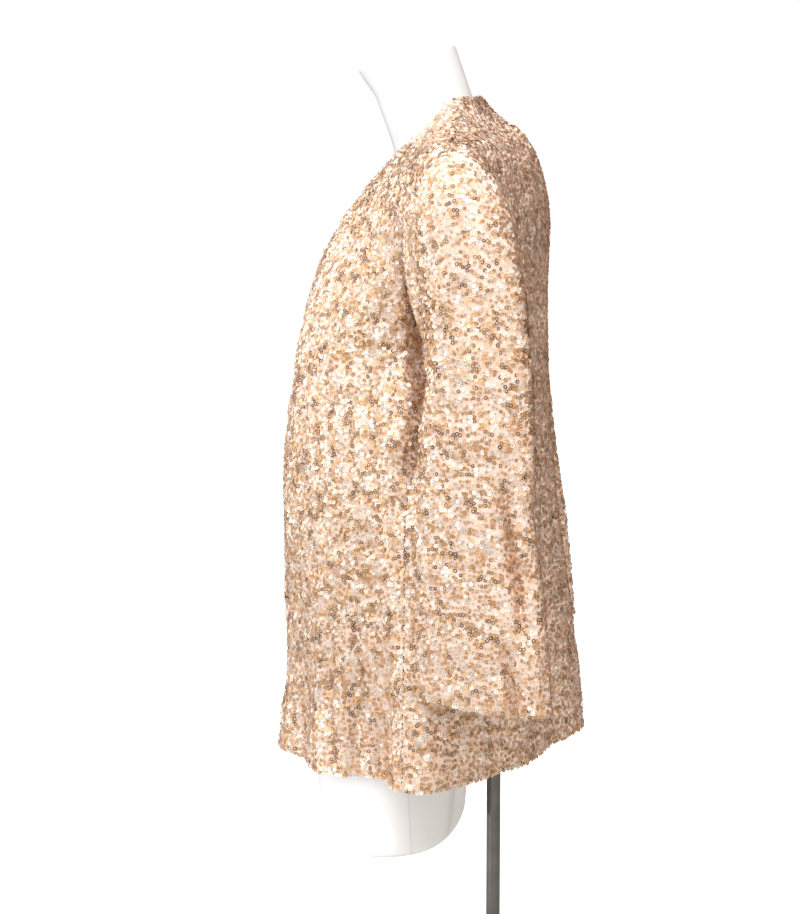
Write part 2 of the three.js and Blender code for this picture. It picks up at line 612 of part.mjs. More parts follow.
// The form with the blind bore that takes its pole.
function boredForm() {
  const below = HEM + FORM[0].up - FORM_RIM;
  const bore = rod(POLE_RADIUS + BORE_CLEARANCE, below, HEM + POLE_TOP + TOUCH_GAP);
  return fromSolid(toSolid(formGeometry()).subtract(toSolid(bore)));
}

// A turned plate or ring on a vertical axis at depth y, with its outer edges rounded.
function turned({ radius, hole = 0, bottom, height, round, sides, y = 0 }) {
  const shape = new THREE.Path();
  shape.moveTo(hole, bottom);
  shape.lineTo(radius - round, bottom);
  shape.absarc(radius - round, bottom + round, round, -Math.PI / 2, 0, false);
  shape.lineTo(radius, bottom + height - round);
  shape.absarc(radius - round, bottom + height - round, round, 0, Math.PI / 2, false);
  shape.lineTo(hole, bottom + height);
  if (hole) shape.lineTo(hole, bottom);
  const geometry = new THREE.LatheGeometry(shape.getPoints(ROUND_STEPS), sides);
  geometry.rotateX(Math.PI / 2);
  geometry.translate(0, y, 0);
  return geometry;
}

// ---- the object ----

const cloth = { color: COLOURS.cloth, roughness: 0.35, metalness: 0.7, side: THREE.DoubleSide };
const shell = { color: COLOURS.form, roughness: 0.3, metalness: 0 };
const chrome = { color: COLOURS.chrome, roughness: 0.2, metalness: 1 };

const group = new THREE.Group();

function add(name, geometry, look) {
  const mesh = new THREE.Mesh(geometry, new THREE.MeshStandardMaterial(look));
  mesh.name = name;
  group.add(mesh);
}

const pieces = cutPieces();
pieces.forEach(addNormals);
joinSeams(pieces);
for (const piece of pieces) add(piece.name, wallGeometry(piece), cloth);

const plateTop = BASE_THICKNESS + TOUCH_GAP;
add('dress_form', boredForm(), shell);
add('pole', rod(POLE_RADIUS, plateTop, HEM + POLE_TOP), chrome);
add('pole_collar', turned({
  radius: COLLAR_RADIUS,
  hole: POLE_RADIUS + BORE_CLEARANCE,
  bottom: plateTop,
  height: COLLAR_HEIGHT,
  round: COLLAR_ROUND,
  sides: COLLAR_SIDES,
  y: POLE_Y,
}), chrome);
add('base_plate', turned({
  radius: BASE_RADIUS,
  bottom: 0,
  height: BASE_THICKNESS,
  round: BASE_ROUND,
  sides: PLATE_SIDES,
}), chrome);

export default group;
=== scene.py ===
import math

import bmesh
import bpy
import numpy as np
from mathutils import Matrix, Vector
from mathutils.kdtree import KDTree


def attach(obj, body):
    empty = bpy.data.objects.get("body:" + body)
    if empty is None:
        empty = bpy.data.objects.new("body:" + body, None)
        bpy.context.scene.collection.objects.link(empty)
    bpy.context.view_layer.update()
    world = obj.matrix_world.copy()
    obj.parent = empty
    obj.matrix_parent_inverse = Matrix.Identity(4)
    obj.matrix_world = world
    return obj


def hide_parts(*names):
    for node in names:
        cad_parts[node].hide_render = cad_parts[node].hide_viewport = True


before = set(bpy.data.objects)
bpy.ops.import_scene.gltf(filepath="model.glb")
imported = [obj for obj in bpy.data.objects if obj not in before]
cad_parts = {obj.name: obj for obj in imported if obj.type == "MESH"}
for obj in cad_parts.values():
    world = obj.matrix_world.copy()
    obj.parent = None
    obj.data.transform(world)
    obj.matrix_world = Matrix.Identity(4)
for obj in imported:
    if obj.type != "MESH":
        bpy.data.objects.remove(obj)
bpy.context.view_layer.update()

MM = 0.001
HEM = 0.640  # floor to the front hem

# ---- camera ----

CAMERA_DISTANCE = 2.5776
CAMERA_HEIGHT = HEM + 0.6487
CAMERA_BEARING = 0.12925  # from the wearer's left towards the back
CAMERA_YAW = 0.01285
CAMERA_PITCH = 0.13388
CAMERA_LENS = 97.75
SENSOR = 36.0


def aim_camera():
    data = bpy.data.cameras.new("camera")
    camera = bpy.data.objects.new("camera", data)
    bpy.context.scene.collection.objects.link(camera)
    bpy.context.scene.camera = camera
    data.sensor_fit = "VERTICAL"
    data.sensor_width = data.sensor_height = SENSOR
    data.lens = CAMERA_LENS
    data.clip_start, data.clip_end = 0.05, 60
    cos, sin = math.cos(CAMERA_BEARING), math.sin(CAMERA_BEARING)
    ahead, across = Vector((-cos, -sin, 0)), Vector((-sin, cos, 0))
    level = ahead * math.cos(CAMERA_YAW) - across * math.sin(CAMERA_YAW)
    right = across * math.cos(CAMERA_YAW) + ahead * math.sin(CAMERA_YAW)
    look = level * math.cos(CAMERA_PITCH) - Vector((0, 0, math.sin(CAMERA_PITCH)))
    turn = Matrix((right, right.cross(look), -look)).transposed()
    place = Vector((cos, sin, 0)) * CAMERA_DISTANCE + Vector((0, 0, CAMERA_HEIGHT))
    camera.matrix_world = Matrix.Translation(place) @ turn.to_4x4()


# ---- the cloth's grids, read from the solids ----

RIM_EDGE = 2.0 * MM  # the wall's rims are narrower than this, and its sides have no edge so short


def wall_side(node, centre):
    """The outer side of a node's cloth wall: its points and the corners of its triangles."""
    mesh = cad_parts[node].data
    mesh.calc_loop_triangles()
    places = np.empty(len(mesh.vertices) * 3)
    mesh.vertices.foreach_get("co", places)
    corners = np.empty(len(mesh.loop_triangles) * 3, int)
    mesh.loop_triangles.foreach_get("vertices", corners)
    _, first, same = np.unique(
        np.round(places.reshape(-1, 3) * 1e5), axis=0, return_index=True, return_inverse=True
    )
    points = places.reshape(-1, 3)[first]
    faces = same.ravel()[corners].reshape(-1, 3)
    a, b, c = points[faces].transpose(1, 0, 2)
    short = np.minimum.reduce([np.linalg.norm(e, axis=1) for e in (b - a, c - b, a - c)])
    faces = faces[short > RIM_EDGE]
    beside = {}
    for face, (i, j, k) in enumerate(faces):
        beside[(i, j)] = beside[(j, k)] = beside[(k, i)] = face
    group = np.full(len(faces), -1)
    for start in range(len(faces)):
        if group[start] >= 0:
            continue
        group[start], stack = start, [start]
        while stack:
            i, j, k = faces[stack.pop()]
            for edge in ((j, i), (k, j), (i, k)):
                other = beside.get(edge, -1)
                if other >= 0 and group[other] < 0:
                    group[other] = start
                    stack.append(other)
    a, b, c = points[faces].transpose(1, 0, 2)
    away = (a + b + c) / 3 - centre
    away[:, 2] = 0
    facing = (np.cross(b - a, c - a) * away).sum(1)
    sides = [group == number for number in np.unique(group)]
    return points, faces[max(sides, key=lambda side: facing[side].sum())]


def rim_loops(faces):
    """The rims of a surface as loops of points, each with the surface on its left."""
    edges = {(a, b) for i, j, k in faces for a, b in ((i, j), (j, k), (k, i))}
    following = {a: b for a, b in edges if (b, a) not in edges}
    loops = []
    while following:
        loop = [next(iter(following))]
        while loop[-1] in following:
            loop.append(following.pop(loop[-1]))
        loops.append(loop[:-1])
    return loops


def walk_grid(points, faces, columns, start, loop):
    """The surface's points as rows and columns. The first row begins at the rim's point nearest to
    start; a loop's columns go round."""
    third = {}
    for i, j, k in faces:
        third[(i, j)], third[(j, k)], third[(k, i)] = k, i, j
    rims = rim_loops(faces)
    gap = [np.linalg.norm(points[rim] - start, axis=1) for rim in rims]
    nearest = int(np.argmin([g.min() for g in gap]))
    shift = int(np.argmin(gap[nearest]))
    rim = rims[nearest][shift:] + rims[nearest][:shift]
    rows = [rim if loop else rim[:columns]]
    edge = rim[:columns - 1:-1]
    height = len(points) if loop else len(rim) // 2 - columns + 2
    while len(rows) < height:
        row = rows[-1]
        if loop:
            begin, first = next_round_row(row, third)
            if first is None:
                break
        else:
            begin, first = 0, edge[len(rows) - 1]
        above = {begin: first}
        count = columns if loop else columns - 1
        for step in range(count - (1 if loop else 0)):
            c = (begin + step) % columns
            here, beside, over = row[c], row[(c + 1) % columns], above[c]
            found = third[(here, beside)]
            if found == over:
                found = third[(over, beside)]
            above[(c + 1) % columns] = found
        rows.append([above[c] for c in range(columns)])
    return points[np.array(rows)]


def next_round_row(row, third):
    """A column whose point in the next row is certain, and that point."""
    count = len(row)
    for c, here in enumerate(row):
        fan, turn = [], row[(c + 1) % count]
        while (here, turn) in third and third[(here, turn)] != row[c - 1]:
            turn = third[(here, turn)]
            fan.append(turn)
        if not fan:
            return 0, None
        if len(fan) != 2:
            return c, fan[len(fan) // 2]
    raise ValueError("no certain column in a round row")


# ---- cloth surfaces ----

CLOTH_CELL = 4.5 * MM
CLOTH_THICKNESS = 1.2 * MM
CLOTH_RIPPLE = 0.5 * MM
CLOTH_RIPPLE_LENGTH = 0.045
RIPPLE_WAVES = 14
RIPPLE_SPREAD = (0.6, 1.6)  # the shortest and longest wave against the usual one
RIPPLE_SEED = 10
CREASE_FADE = 0.7  # below 1, a crease keeps its depth nearer to its ends


def along(values, at, loop=False):
    """values on a smooth curve through its entries, at fractional places."""
    count = len(values)
    if loop:
        padded = np.concatenate([values[-1:], values, values[:3]])
    else:
        padded = np.concatenate([
            2 * values[:1] - values[1:2], values, 2 * values[-1:] - values[-2:-1],
        ])
        at = np.clip(at, 0, count - 1 - 1e-9)
    i = np.floor(at).astype(int)
    t = (at - i).reshape((-1,) + (1,) * (values.ndim - 1))
    p0, p1, p2, p3 = (padded[i + k] for k in range(4))
    return p1 + 0.5 * t * (
        p2 - p0 + t * (2 * p0 - 5 * p1 + 4 * p2 - p3 + t * (3 * (p1 - p2) + p3 - p0))
    )


def finer(grid, cell, loop):
    """A grid divided into cells of about that size."""
    rows, columns = grid.shape[:2]
    tall = np.linalg.norm(np.diff(grid, axis=0), axis=2).sum(0).max()
    closed = np.concatenate([grid, grid[:, :1]], 1) if loop else grid
    wide = np.linalg.norm(np.diff(closed, axis=1), axis=2).sum(1).max()
    down = np.linspace(0, rows - 1, int(tall / cell) + 1)
    if loop:
        round_ = np.arange(int(wide / cell)) * columns / int(wide / cell)
    else:
        round_ = np.linspace(0, columns - 1, int(wide / cell) + 1)
    tall_grid = along(grid, down)
    return along(tall_grid.transpose(1, 0, 2), round_, loop).transpose(1, 0, 2)


def normals_of(grid, loop):
    if loop:
        sideways = np.roll(grid, -1, 1) - np.roll(grid, 1, 1)
    else:
        sideways = np.gradient(grid, axis=1)
    normal = np.cross(sideways, np.gradient(grid, axis=0))
    return normal / np.linalg.norm(normal, axis=2, keepdims=True)


def ripple(points, seed, wavelength):
    """Gentle unevenness, mostly from -1 to 1, a sum of waves in random directions."""
    rng = np.random.default_rng(seed)
    total = np.zeros(points.shape[:-1])
    for _ in range(RIPPLE_WAVES):
        way = rng.normal(size=3)
        way *= 2 * math.pi / (wavelength * rng.uniform(*RIPPLE_SPREAD)) / np.linalg.norm(way)
        total += np.sin(points @ way + rng.uniform(0, 2 * math.pi))
    return total / math.sqrt(RIPPLE_WAVES)


def beside_line(points, line, width):
    """How much a crease along a line (mm, up from the hem) takes the points with it, from 1 to 0."""
    line = np.array(line) * MM + (0, 0, HEM)
    lengths = np.linalg.norm(np.diff(line, axis=0), axis=1)
    before = np.concatenate([[0], np.cumsum(lengths)])
    nearest = np.full(points.shape[:-1], np.inf)
    share = np.zeros(points.shape[:-1])
    for start, way, length, done in zip(line, np.diff(line, axis=0), lengths, before):
        t = np.clip((points - start) @ way / length**2, 0, 1)
        gap = np.linalg.norm(points - start - t[..., None] * way, axis=-1)
        closer = gap < nearest
        nearest = np.where(closer, gap, nearest)
        share = np.where(closer, (done + t * length) / before[-1], share)
    fade = np.sin(math.pi * np.clip(share, 0, 1)) ** CREASE_FADE
    return fade * np.exp(-((nearest / (width * MM)) ** 2))


def distance_to(cloud, points):
    """How far each point is from the nearest one of a cloud."""
    flat = points.reshape(-1, 3)
    if not len(cloud):
        return np.full(points.shape[:-1], np.inf)
    tree = KDTree(len(cloud))
    for number, spot in enumerate(cloud):
        tree.insert(spot, number)
    tree.balance()
    return np.array([tree.find(spot)[2] for spot in flat]).reshape(points.shape[:-1])


def new_mesh(name, points, faces, smooth=True):
    mesh = bpy.data.meshes.new(name)
    mesh.from_pydata(points.reshape(-1, 3).tolist(), [], faces)
    mesh.polygons.foreach_set("use_smooth", [smooth] * len(mesh.polygons))
    piece = bpy.data.objects.new(name, mesh)
    bpy.context.scene.collection.objects.link(piece)
    return piece


def cloth_shell(name, grid, normals, loop):
    """A thin closed wall whose outer side is the grid."""
    rows, columns = grid.shape[:2]
    at = np.arange(rows * columns).reshape(rows, columns)
    if loop:
        at = np.concatenate([at, at[:, :1]], 1)
    quads = np.stack([at[:-1, :-1], at[:-1, 1:], at[1:, 1:], at[1:, :-1]], -1).reshape(-1, 4)
    inside = rows * columns
    faces = np.concatenate([quads, quads[:, ::-1] + inside])
    rims = [at[0][::-1], at[-1]] if loop else [
        np.concatenate([at[0][::-1], at[1:-1, 0], at[-1], at[-2:0:-1, -1], at[0][-1:]])
    ]
    for rim in rims:
        a, b = rim[:-1], rim[1:]
        faces = np.concatenate([faces, np.stack([a, b, b + inside, a + inside], -1)])
    points = np.concatenate([
        grid.reshape(-1, 3), (grid - normals * CLOTH_THICKNESS).reshape(-1, 3),
    ])
    return new_mesh(name, points, faces.tolist())


# ---- sequins ----

SEQUIN_RADIUS = 1.95 * MM
SEQUIN_CUP = 0.17 * MM  # how deep its middle sits behind its rim
SEQUIN_PITCH = 3.5 * MM  # along a row
SEQUIN_ROW = 3.9 * MM
SEQUIN_JITTER = 0.34  # of the pitch and of the row
SEQUIN_SIDES = 8
SEQUIN_TILES = 4  # the colours lie in a square of this many tiles a side
SEQUIN_LIFT = (0.5, 1.5)  # mm above the ground
SEQUIN_SPREAD = (0.94, 1.05)  # the smallest and largest against the usual one
RIM_IN_TILE = 0.46  # the rim's radius in its tile of one
ROW_SHIFT = (0.2, 0.8)  # of the pitch, where a row's first sequin may sit
ROW_WAVE = 2.0 * MM
ROW_WAVELENGTH = 0.021
LEAN = 0.175  # the slope of each alone, at random, up and along the row
RISE_LEAN = 0.04  # the slope of all, up
CHAIN_LEAN = 0.07  # the slope of all, along the row
PATCH_LEAN = 0.035  # the slope that a patch of them shares
PATCH_RISE_LENGTH, PATCH_SIDE_LENGTH = 0.030, 0.026
# The sequins' tones run from dark, a painted reflection of the dim room, to pale, a painted glint,
# and lie in patches.
COLOUR_PATCH_LENGTH = 0.014
COLOUR_SPREAD = 1.3  # of each alone, against the patches' 1
PATCH_SHARE = 0.62  # of a sequin's colour that its neighbours share
SEAM_CLEAR = 1.7 * MM
BORDER_STRAY = 0.5  # of their usual stray that the sequins along a border keep
BORDER_ROWS = 3  # rows over which the usual stray comes back


def read_grid(grid, row, column, loop):
    """grid between its points, at fractional rows and columns."""
    rows, columns = grid.shape[:2]
    r = np.clip(row.astype(int), 0, rows - 2)
    c = column.astype(int) if loop else np.clip(column.astype(int), 0, columns - 2)
    s, t = (row - r)[:, None], (column - c)[:, None]
    c, beside = c % columns, (c + 1) % columns
    near = grid[r, c] * (1 - t) + grid[r, beside] * t
    far = grid[r + 1, c] * (1 - t) + grid[r + 1, beside] * t
    return near * (1 - s) + far * s


def sequin_places(grid, rng, loop, seed):
    """Fractional rows and columns for wavy, uneven rows of sequins."""
    closed = np.concatenate([grid, grid[:, :1]], 1) if loop else grid
    columns = closed.shape[1] - 1
    heights = np.linalg.norm(np.diff(grid, axis=0), axis=2).mean(1)
    climbed = np.concatenate([[0], np.cumsum(heights)])
    count = int(climbed[-1] / SEQUIN_ROW)
    rows, sides = [], []
    for k in range(count + 1):
        row = np.interp(climbed[-1] * k / count, climbed, np.arange(len(climbed)))
        low = min(int(row), len(grid) - 2)
        line = closed[low] + (closed[low + 1] - closed[low]) * (row - low)
        lengths = np.linalg.norm(np.diff(line, axis=0), axis=1)
        passed = np.concatenate([[0], np.cumsum(lengths)])
        number = int(passed[-1] / SEQUIN_PITCH)
        want = (np.arange(number) + rng.uniform(*ROW_SHIFT)) / number * passed[-1]
        want += rng.uniform(-SEQUIN_JITTER, SEQUIN_JITTER, number) * SEQUIN_PITCH
        want = np.clip(want, 0, passed[-1])
        side = np.interp(want, passed, np.arange(columns + 1))
        wave = ripple(read_grid(grid, np.full(number, row), side, loop), seed, ROW_WAVELENGTH)
        stray = rng.uniform(-SEQUIN_JITTER, SEQUIN_JITTER, number) * SEQUIN_ROW
        inwards = min(1, k / BORDER_ROWS, (count - k) / BORDER_ROWS)
        fade = BORDER_STRAY + (1 - BORDER_STRAY) * inwards
        sides.append(side)
        rows.append(row + fade * (wave * ROW_WAVE + stray) / max(heights[low], 1e-6))
    row = np.clip(np.concatenate(rows), 0, len(grid) - 1)
    column = np.concatenate(sides)
    return row, column if loop else np.clip(column, 0, grid.shape[1] - 1)


def tone_and_reflection_tiles(centre, rng, seed):
    """A colour number for each sequin from dark to pale, alike in patches, all used alike often; the
    dark numbers paint reflections of the dim room and the pale ones paint glints.
    """
    patch = ripple(centre, seed, COLOUR_PATCH_LENGTH)
    alone = COLOUR_SPREAD * rng.normal(size=len(centre))
    mixed = PATCH_SHARE * patch + (1 - PATCH_SHARE) * alone
    order = np.empty(len(centre))
    order[np.argsort(mixed)] = np.arange(len(centre))
    return (order / len(centre) * SEQUIN_TILES**2).astype(int)


def sew_sequins(name, grid, normals, loop, seed, seams):
    """Sequins all over a piece, each a shallow cup that leans its own way."""
    rng = np.random.default_rng(seed)
    row, column = sequin_places(grid, rng, loop, seed + 3)
    centre = read_grid(grid, row, column, loop)
    free = distance_to(seams, centre) > SEAM_CLEAR
    row, column, centre = row[free], column[free], centre[free]
    normal = read_grid(normals, row, column, loop)
    normal /= np.linalg.norm(normal, axis=1, keepdims=True)
    number = len(centre)
    up = np.array([0, 0, 1.0]) - normal * normal[:, 2:]
    up /= np.maximum(np.linalg.norm(up, axis=1, keepdims=True), 1e-6)
    side = np.cross(up, normal)
    patch_up = PATCH_LEAN * ripple(centre, seed + 1, PATCH_RISE_LENGTH)
    patch_side = PATCH_LEAN * ripple(centre, seed + 2, PATCH_SIDE_LENGTH)
    lean_up = RISE_LEAN + patch_up + rng.normal(0, LEAN, number)
    lean_side = patch_side + rng.normal(CHAIN_LEAN, LEAN, number)
    facing = normal + up * lean_up[:, None] + side * lean_side[:, None]
    facing /= np.linalg.norm(facing, axis=1, keepdims=True)
    flat_up = up - facing * (up * facing).sum(1, keepdims=True)
    flat_up /= np.linalg.norm(flat_up, axis=1, keepdims=True)
    flat_side = np.cross(flat_up, facing)
    tile = tone_and_reflection_tiles(centre, rng, seed + 4)
    centre = centre + normal * (rng.uniform(*SEQUIN_LIFT, number) * MM)[:, None]
    angle = (np.arange(SEQUIN_SIDES) + 0.5) * 2 * math.pi / SEQUIN_SIDES
    radius = SEQUIN_RADIUS * rng.uniform(*SEQUIN_SPREAD, number)[:, None, None]
    rim = centre[:, None] + radius * (
        flat_side[:, None] * np.cos(angle)[:, None] - flat_up[:, None] * np.sin(angle)[:, None]
    )
    points = np.concatenate([(centre - facing * SEQUIN_CUP)[:, None], rim], 1)
    first = (np.arange(number) * (SEQUIN_SIDES + 1))[:, None]
    here = 1 + np.arange(SEQUIN_SIDES)
    following = 1 + (np.arange(SEQUIN_SIDES) + 1) % SEQUIN_SIDES
    faces = np.stack([
        np.broadcast_to(first, (number, SEQUIN_SIDES)), first + here, first + following,
    ], -1).reshape(-1, 3)
    piece = new_mesh(name, points, faces.tolist())
    spots = np.stack([np.cos(angle), np.sin(angle)], -1) * RIM_IN_TILE
    corners = np.stack([np.zeros_like(spots), spots, np.roll(spots, -1, 0)], 1) + 0.5
    place = np.stack([tile % SEQUIN_TILES, tile // SEQUIN_TILES], -1)[:, None, None]
    layer = piece.data.uv_layers.new(name="OFBake")
    layer.data.foreach_set("uv", ((place + corners) / SEQUIN_TILES).ravel())
    return piece


# ---- materials ----


class Look:
    """A material and short ways to add its nodes."""

    def __init__(self, name):
        self.material = bpy.data.materials.new(name)
        self.material.use_nodes = True
        self.tree = self.material.node_tree
        self.shader = self.tree.nodes["Principled BSDF"]

    def node(self, kind, inputs=(), **settings):
        made = self.tree.nodes.new(kind)
        for key, value in settings.items():
            setattr(made, key, value)
        for key, value in dict(inputs).items():
            if isinstance(value, bpy.types.NodeSocket):
                self.tree.links.new(value, made.inputs[key])
            else:
                made.inputs[key].default_value = value
        return made

    def math(self, operation, a, b=0.0, c=0.0, clamp=False):
        values = {0: a, 1: b, 2: c}
        return self.node("ShaderNodeMath", values, operation=operation, use_clamp=clamp).outputs[0]

    def vector(self, operation, a, b=(0.0, 0.0, 0.0)):
        return self.node("ShaderNodeVectorMath", {0: a, 1: b}, operation=operation).outputs[0]

    def ramp(self, factor, stops):
        made = self.node("ShaderNodeValToRGB", {0: factor})
        band = made.color_ramp
        while len(band.elements) < len(stops):
            band.elements.new(0.5)
        for element, (place, colour) in zip(band.elements, stops):
            element.position = place
            element.color = (*colour, 1)
        return made.outputs[0]

    def mix(self, factor, a, b):
        made = self.node("ShaderNodeMix", data_type="RGBA")
        for index, value in ((0, factor), (6, a), (7, b)):
            if isinstance(value, bpy.types.NodeSocket):
                self.tree.links.new(value, made.inputs[index])
            else:
                made.inputs[index].default_value = value if index == 0 else (*value, 1)
        return made.outputs[2]

    def place(self):
        return self.node("ShaderNodeTexCoord").outputs["Object"]

    def set(self, **values):
        for key, value in values.items():
            socket = self.shader.inputs[key.replace("_", " ")]
            if isinstance(value, bpy.types.NodeSocket):
                self.tree.links.new(value, socket)
            elif isinstance(value, tuple):
                socket.default_value = (*value, 1)
            else:
                socket.default_value = value

    def bump(self, height, strength, distance):
        made = self.node(
            "ShaderNodeBump", {"Height": height, "Strength": strength, "Distance": distance}
        )
        self.set(Normal=made.outputs[0])


def sequin_look():
    look = Look("sequin rose gold")
    uv = look.node("ShaderNodeUVMap", uv_map="OFBake").outputs[0]
    scaled = look.vector("MULTIPLY", uv, (SEQUIN_TILES,) * 3)
    tile = look.vector("FLOOR", scaled)
    spot = look.vector("SUBTRACT", scaled, tile)
    middle = look.node(
        "ShaderNodeVectorMath", {0: spot, 1: (0.5, 0.5, 0.0)}, operation="DISTANCE"
    ).outputs["Value"]
    parts = look.node("ShaderNodeSeparateXYZ", {0: tile})
    number = look.math("MULTIPLY_ADD", parts.outputs[1], SEQUIN_TILES, parts.outputs[0])
    tone_and_painted_reflection = look.math("DIVIDE", number, SEQUIN_TILES**2 - 1)
    # The foil runs from dark brown, a painted reflection of the dim room, through the foil's own
    # rose gold, to near white, a painted glint.
    foil_and_painted_reflection = look.ramp(tone_and_painted_reflection, [
        (0.0, (0.14, 0.072, 0.029)),
        (0.07, (0.33, 0.17, 0.066)),
        (0.17, (0.60, 0.33, 0.135)),
        (0.40, (0.84, 0.54, 0.31)),
        (0.68, (0.96, 0.76, 0.61)),
        (1.0, (1.0, 0.93, 0.88)),
    ])
    # The painted hole: for the darkest sequins it shows the pale ground; for the rest it is dark
    # brown, the thread with painted shadow in the hole.
    through = look.ramp(tone_and_painted_reflection, [(0.05, (0.88, 0.66, 0.52)), (0.3, (0.44, 0.25, 0.13))])
    size = look.math("MULTIPLY_ADD", look.math("LESS_THAN", tone_and_painted_reflection, 0.1), 0.02, 0.165)
    hole = look.math("LESS_THAN", middle, size)
    look.set(
        Base_Color=look.mix(hole, foil_and_painted_reflection, through),
        Metallic=look.math("MULTIPLY_ADD", hole, -0.8, 0.85),
        Roughness=0.34,
        Specular_Tint=(1.0, 0.88, 0.76),
        Coat_Weight=0.4,
        Coat_Roughness=0.25,
        Coat_IOR=1.6,
    )
    return look.material


def ground_look():
    look = Look("peach net ground")
    place = look.place()
    weave = look.node("ShaderNodeTexVoronoi", {"Vector": place, "Scale": 900.0})
    shade = look.node("ShaderNodeTexNoise", {"Vector": place, "Scale": 60.0})
    look.set(
        Base_Color=look.ramp(shade.outputs[0], [
            (0.3, (0.94, 0.71, 0.59)), (0.7, (0.99, 0.83, 0.73)),
        ]),
        Roughness=0.6,
        Sheen_Weight=0.3,
    )
    look.bump(weave.outputs["Distance"], 0.5, 0.0006)
    return look.material


def thread_look():
    look = Look("brown sewing thread")
    twist = look.node("ShaderNodeTexWave", {"Vector": look.place(), "Scale": 900.0})
    look.set(
        Base_Color=look.ramp(twist.outputs[1], [
            (0.2, (0.16, 0.09, 0.05)), (0.8, (0.27, 0.16, 0.09)),
        ]),
        Roughness=0.7,
    )
    return look.material


def form_look():
    """White gloss shell with fine mould grain and the faint line where its halves meet."""
    look = Look("white moulded shell")
    place = look.place()
    grain = look.node("ShaderNodeTexNoise", {"Vector": place, "Scale": 18.0, "Detail": 3.0})
    axes = look.node("ShaderNodeSeparateXYZ", {0: place}).outputs
    slope = look.math("MULTIPLY_ADD", axes[2], FORM_LINE_SLOPE, FORM_LINE_Y)
    gap = look.math("ABSOLUTE", look.math("SUBTRACT", axes[1], slope))
    line = look.math("SUBTRACT", 1.0, look.math("DIVIDE", gap, FORM_LINE_WIDTH), clamp=True)
    beside = look.math("SUBTRACT", 1.0, look.math("DIVIDE", gap, 2.5 * FORM_LINE_WIDTH), clamp=True)
    plain = look.ramp(grain.outputs[0], [
        (0.35, (0.92, 0.95, 0.99)), (0.7, (0.94, 0.965, 1.0)),
    ])
    look.set(
        Base_Color=look.mix(beside, plain, (0.85, 0.87, 0.91)),
        Roughness=0.3,
        Coat_Weight=0.4,
        Coat_Roughness=0.12,
    )
    height = look.math("MULTIPLY_ADD", grain.outputs[0], 0.1, line)
    look.bump(height, 0.5, 0.0008)
    return look.material


def chrome_look():
    look = Look("dark chrome")
    smear = look.node(
        "ShaderNodeTexNoise", {"Vector": look.place(), "Scale": 30.0, "Detail": 4.0}
    )
    look.set(
        Base_Color=look.ramp(smear.outputs[0], [
            (0.3, (0.13, 0.127, 0.124)), (0.7, (0.18, 0.176, 0.17)),
        ]),
        Metallic=1.0,
        Roughness=look.math("MULTIPLY_ADD", smear.outputs[0], 0.10, 0.08),
    )
    return look.material


# ---- dressing ----

# Each panel: node, columns of its solid's grid, the corner it starts at (mm, up from the hem), a
# middle to tell out from in, which creases it has, and the column that its stitches follow, if any.
PANELS = [
    {"node": "blazer_back", "columns": 35, "start": (221, -1, 0), "middle": (0, 0), "on": "body"},
    {"node": "blazer_front_left", "columns": 15, "start": (41, -157, 0), "middle": (0, 0),
     "on": "body", "seam": -1},
    {"node": "blazer_front_right", "columns": 15, "start": (-218, -1, 0), "middle": (0, 0),
     "on": "body", "seam": 0},
    {"node": "blazer_sleeve_left", "columns": 20, "start": (205, 45, 622), "middle": (225, 70),
     "on": "left"},
    {"node": "blazer_sleeve_right", "columns": 20, "start": (-205, 45, 622), "middle": (-225, 60),
     "on": "right"},
]

SEAM_REACH = 3.0 * MM  # border points of two panels this close together are sewn
BORDER_STEPS = 12  # border points to a cell of the solid's grid
SIDE_SEAM_TOP = HEM + 0.420
SEAM_GROOVE = 1.1 * MM
SEAM_WIDTH = 3.5 * MM
ARMHOLE_STILL = 10 * MM  # creases die away this close to an armhole
SEAM_SOFTNESS = 19 * MM  # over this the panels turn into each other
VALLEY_FILL = 3.6 * MM
VALLEY_WIDTH = 11 * MM
VALLEY_FROM, VALLEY_TO = HEM + 0.490, HEM + 0.545
STITCH_PITCH = 4.4 * MM
STITCH = (2.8 * MM, 1.0 * MM, 0.6 * MM)  # length, width, thickness

